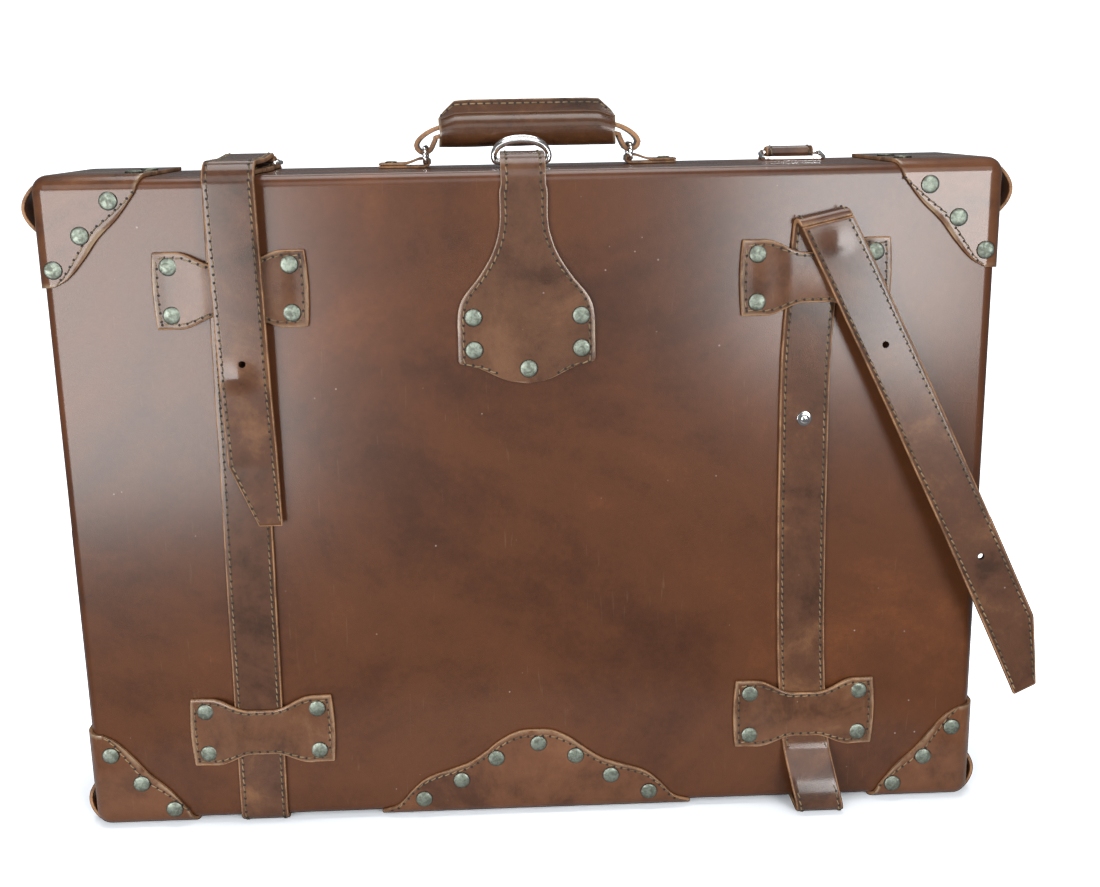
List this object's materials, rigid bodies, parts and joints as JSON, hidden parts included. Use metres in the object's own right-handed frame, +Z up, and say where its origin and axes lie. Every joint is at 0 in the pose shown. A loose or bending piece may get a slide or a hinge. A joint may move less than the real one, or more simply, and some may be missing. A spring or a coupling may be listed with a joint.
{
  "type": "portfolio case",
  "caption": "Rigid leather art portfolio case with a hinged lid, riveted corner caps, buckle-free closing straps in keepers, a centre tab and a carrying handle.",
  "frame": {"origin": "centre of the underside of the two shells, midway between the lid's front and the base's back", "axes": "+X along the case's width to the right seen from the front, +Y from the lid at the front to the base at the back, +Z up"},
  "size_m": [0.6675, 0.1524, 0.4963],
  "materials": {
    "cover_leather": "waxed, mottled chestnut and dark brown, semi-gloss",
    "trim_leather": "waxed dark brown with raw tan cut edges",
    "strap_leather": "waxed dark brown with raw tan cut edges",
    "poplar": "planed, unfinished",
    "fibreboard": "matt pressed board",
    "lining": "matt tan suede cloth",
    "chrome": "polished",
    "antique_nickel": "antiqued nickel, greenish, with dark rims",
    "hinge_steel": "satin"
  },
  "bodies": {
    "base": {"base_cover": "cover_leather", "base_board": "fibreboard", "base_frame": "poplar", "base_lining": "lining", "hinge_leaf_base": "hinge_steel", "hinge_pin": "hinge_steel", "base_chin": "trim_leather", "ring_chape": "hinge_steel", "left_strap_back": "strap_leather", "right_strap_back": "strap_leather", "handle_chape_left": "strap_leather", "handle_chape_right": "strap_leather", "base_corner_cap_top_left": "trim_leather", "base_corner_cap_top_right": "trim_leather", "base_corner_cap_bottom_left": "trim_leather", "base_corner_cap_bottom_right": "trim_leather", "base_keeper_upper_left": "trim_leather", "base_keeper_upper_right": "trim_leather", "base_keeper_lower_left": "trim_leather", "base_keeper_lower_right": "trim_leather"},
    "lid": {"lid_cover": "cover_leather", "lid_board": "fibreboard", "lid_frame": "poplar", "lid_lining": "lining", "hinge_leaf_lid": "hinge_steel", "lid_chin": "trim_leather", "left_strap_front": "strap_leather", "left_strap_loop": "strap_leather", "left_stud": "antique_nickel", "right_strap_front": "strap_leather", "right_stud": "chrome", "front_tab": "trim_leather", "lid_corner_cap_top_left": "trim_leather", "lid_corner_cap_top_right": "trim_leather", "lid_corner_cap_bottom_left": "trim_leather", "lid_corner_cap_bottom_right": "trim_leather", "lid_keeper_upper_left": "trim_leather", "lid_keeper_upper_right": "trim_leather", "lid_keeper_lower_left": "trim_leather", "lid_keeper_lower_right": "trim_leather", "tab_rivet_upper_left": "antique_nickel", "tab_rivet_lower_left": "antique_nickel", "tab_rivet_upper_right": "antique_nickel", "tab_rivet_lower_right": "antique_nickel", "tab_rivet_bottom": "antique_nickel"},
    "left_tail": {"left_strap_tail": "strap_leather"},
    "right_tail": {"right_strap_tail": "strap_leather"},
    "left_ring": {"left_strap_ring": "chrome"},
    "right_ring": {"right_strap_ring": "chrome"},
    "tab_ring_front": {"tab_ring_front": "chrome"},
    "tab_ring_back": {"tab_ring_back": "chrome"},
    "handle_ring_left": {"handle_ring_left": "chrome"},
    "handle_ring_right": {"handle_ring_right": "chrome"},
    "handle": {"handle_core": "strap_leather", "handle_grip": "trim_leather"}
  },
  "joints": [
    {"name": "lid_hinge", "type": "hinge", "parent": "base", "child": "lid", "pos_m": [0, -0.022, -0.0017], "axis": [1, 0, 0], "range_deg": [0, 150], "deforming": ["left_strap_loop"]},
    {"name": "left_tail_lift", "type": "hinge", "parent": "lid", "child": "left_tail", "pos_m": [-0.1849, -0.072, 0.44], "axis": [-1, 0, 0], "range_deg": [0, 110]},
    {"name": "right_tail_lift", "type": "hinge", "parent": "lid", "child": "right_tail", "pos_m": [0.19496, -0.0708, 0.41011], "axis": [-0.9774, 0, -0.2113], "range_deg": [0, 110]},
    {"name": "left_ring_tilt", "type": "hinge", "parent": "base", "child": "left_ring", "pos_m": [-0.187, 0.03, 0.453], "axis": [-1, 0, 0], "range_deg": [0, 6]},
    {"name": "right_ring_flip", "type": "hinge", "parent": "base", "child": "right_ring", "pos_m": [0.19, 0.03, 0.453], "axis": [-1, 0, 0], "range_deg": [0, 150]},
    {"name": "tab_ring_tilt", "type": "hinge", "parent": "base", "child": "tab_ring_front", "pos_m": [0, -0.016, 0.4519], "axis": [1, 0, 0], "range_deg": [-15, 15]},
    {"name": "tab_ring_back_tilt", "type": "hinge", "parent": "base", "child": "tab_ring_back", "pos_m": [0, -0.01, 0.4519], "axis": [1, 0, 0], "range_deg": [-15, 15]},
    {"name": "handle_sway", "type": "hinge", "parent": "base", "child": "handle_ring_left", "pos_m": [-0.065, 0.014, 0.4518], "axis": [0, 1, 0], "range_deg": [-25, 25]},
    {"name": "handle_right_sway", "type": "hinge", "parent": "base", "child": "handle_ring_right", "pos_m": [0.075, 0.014, 0.4518], "axis": [0, 1, 0], "range_deg": [-25, 25]},
    {"name": "handle_level", "type": "hinge", "parent": "handle_ring_left", "child": "handle", "pos_m": [-0.065, 0.014, 0.4613], "axis": [0, 1, 0], "range_deg": [-25, 25]}
  ],
  "couplings": [
    {"joint": "tab_ring_back_tilt", "follows": "tab_ring_tilt", "ratio": 1},
    {"joint": "handle_level", "follows": "handle_sway", "ratio": -1},
    {"joint": "handle_right_sway", "follows": "handle_sway", "ratio": 1}
  ]
}
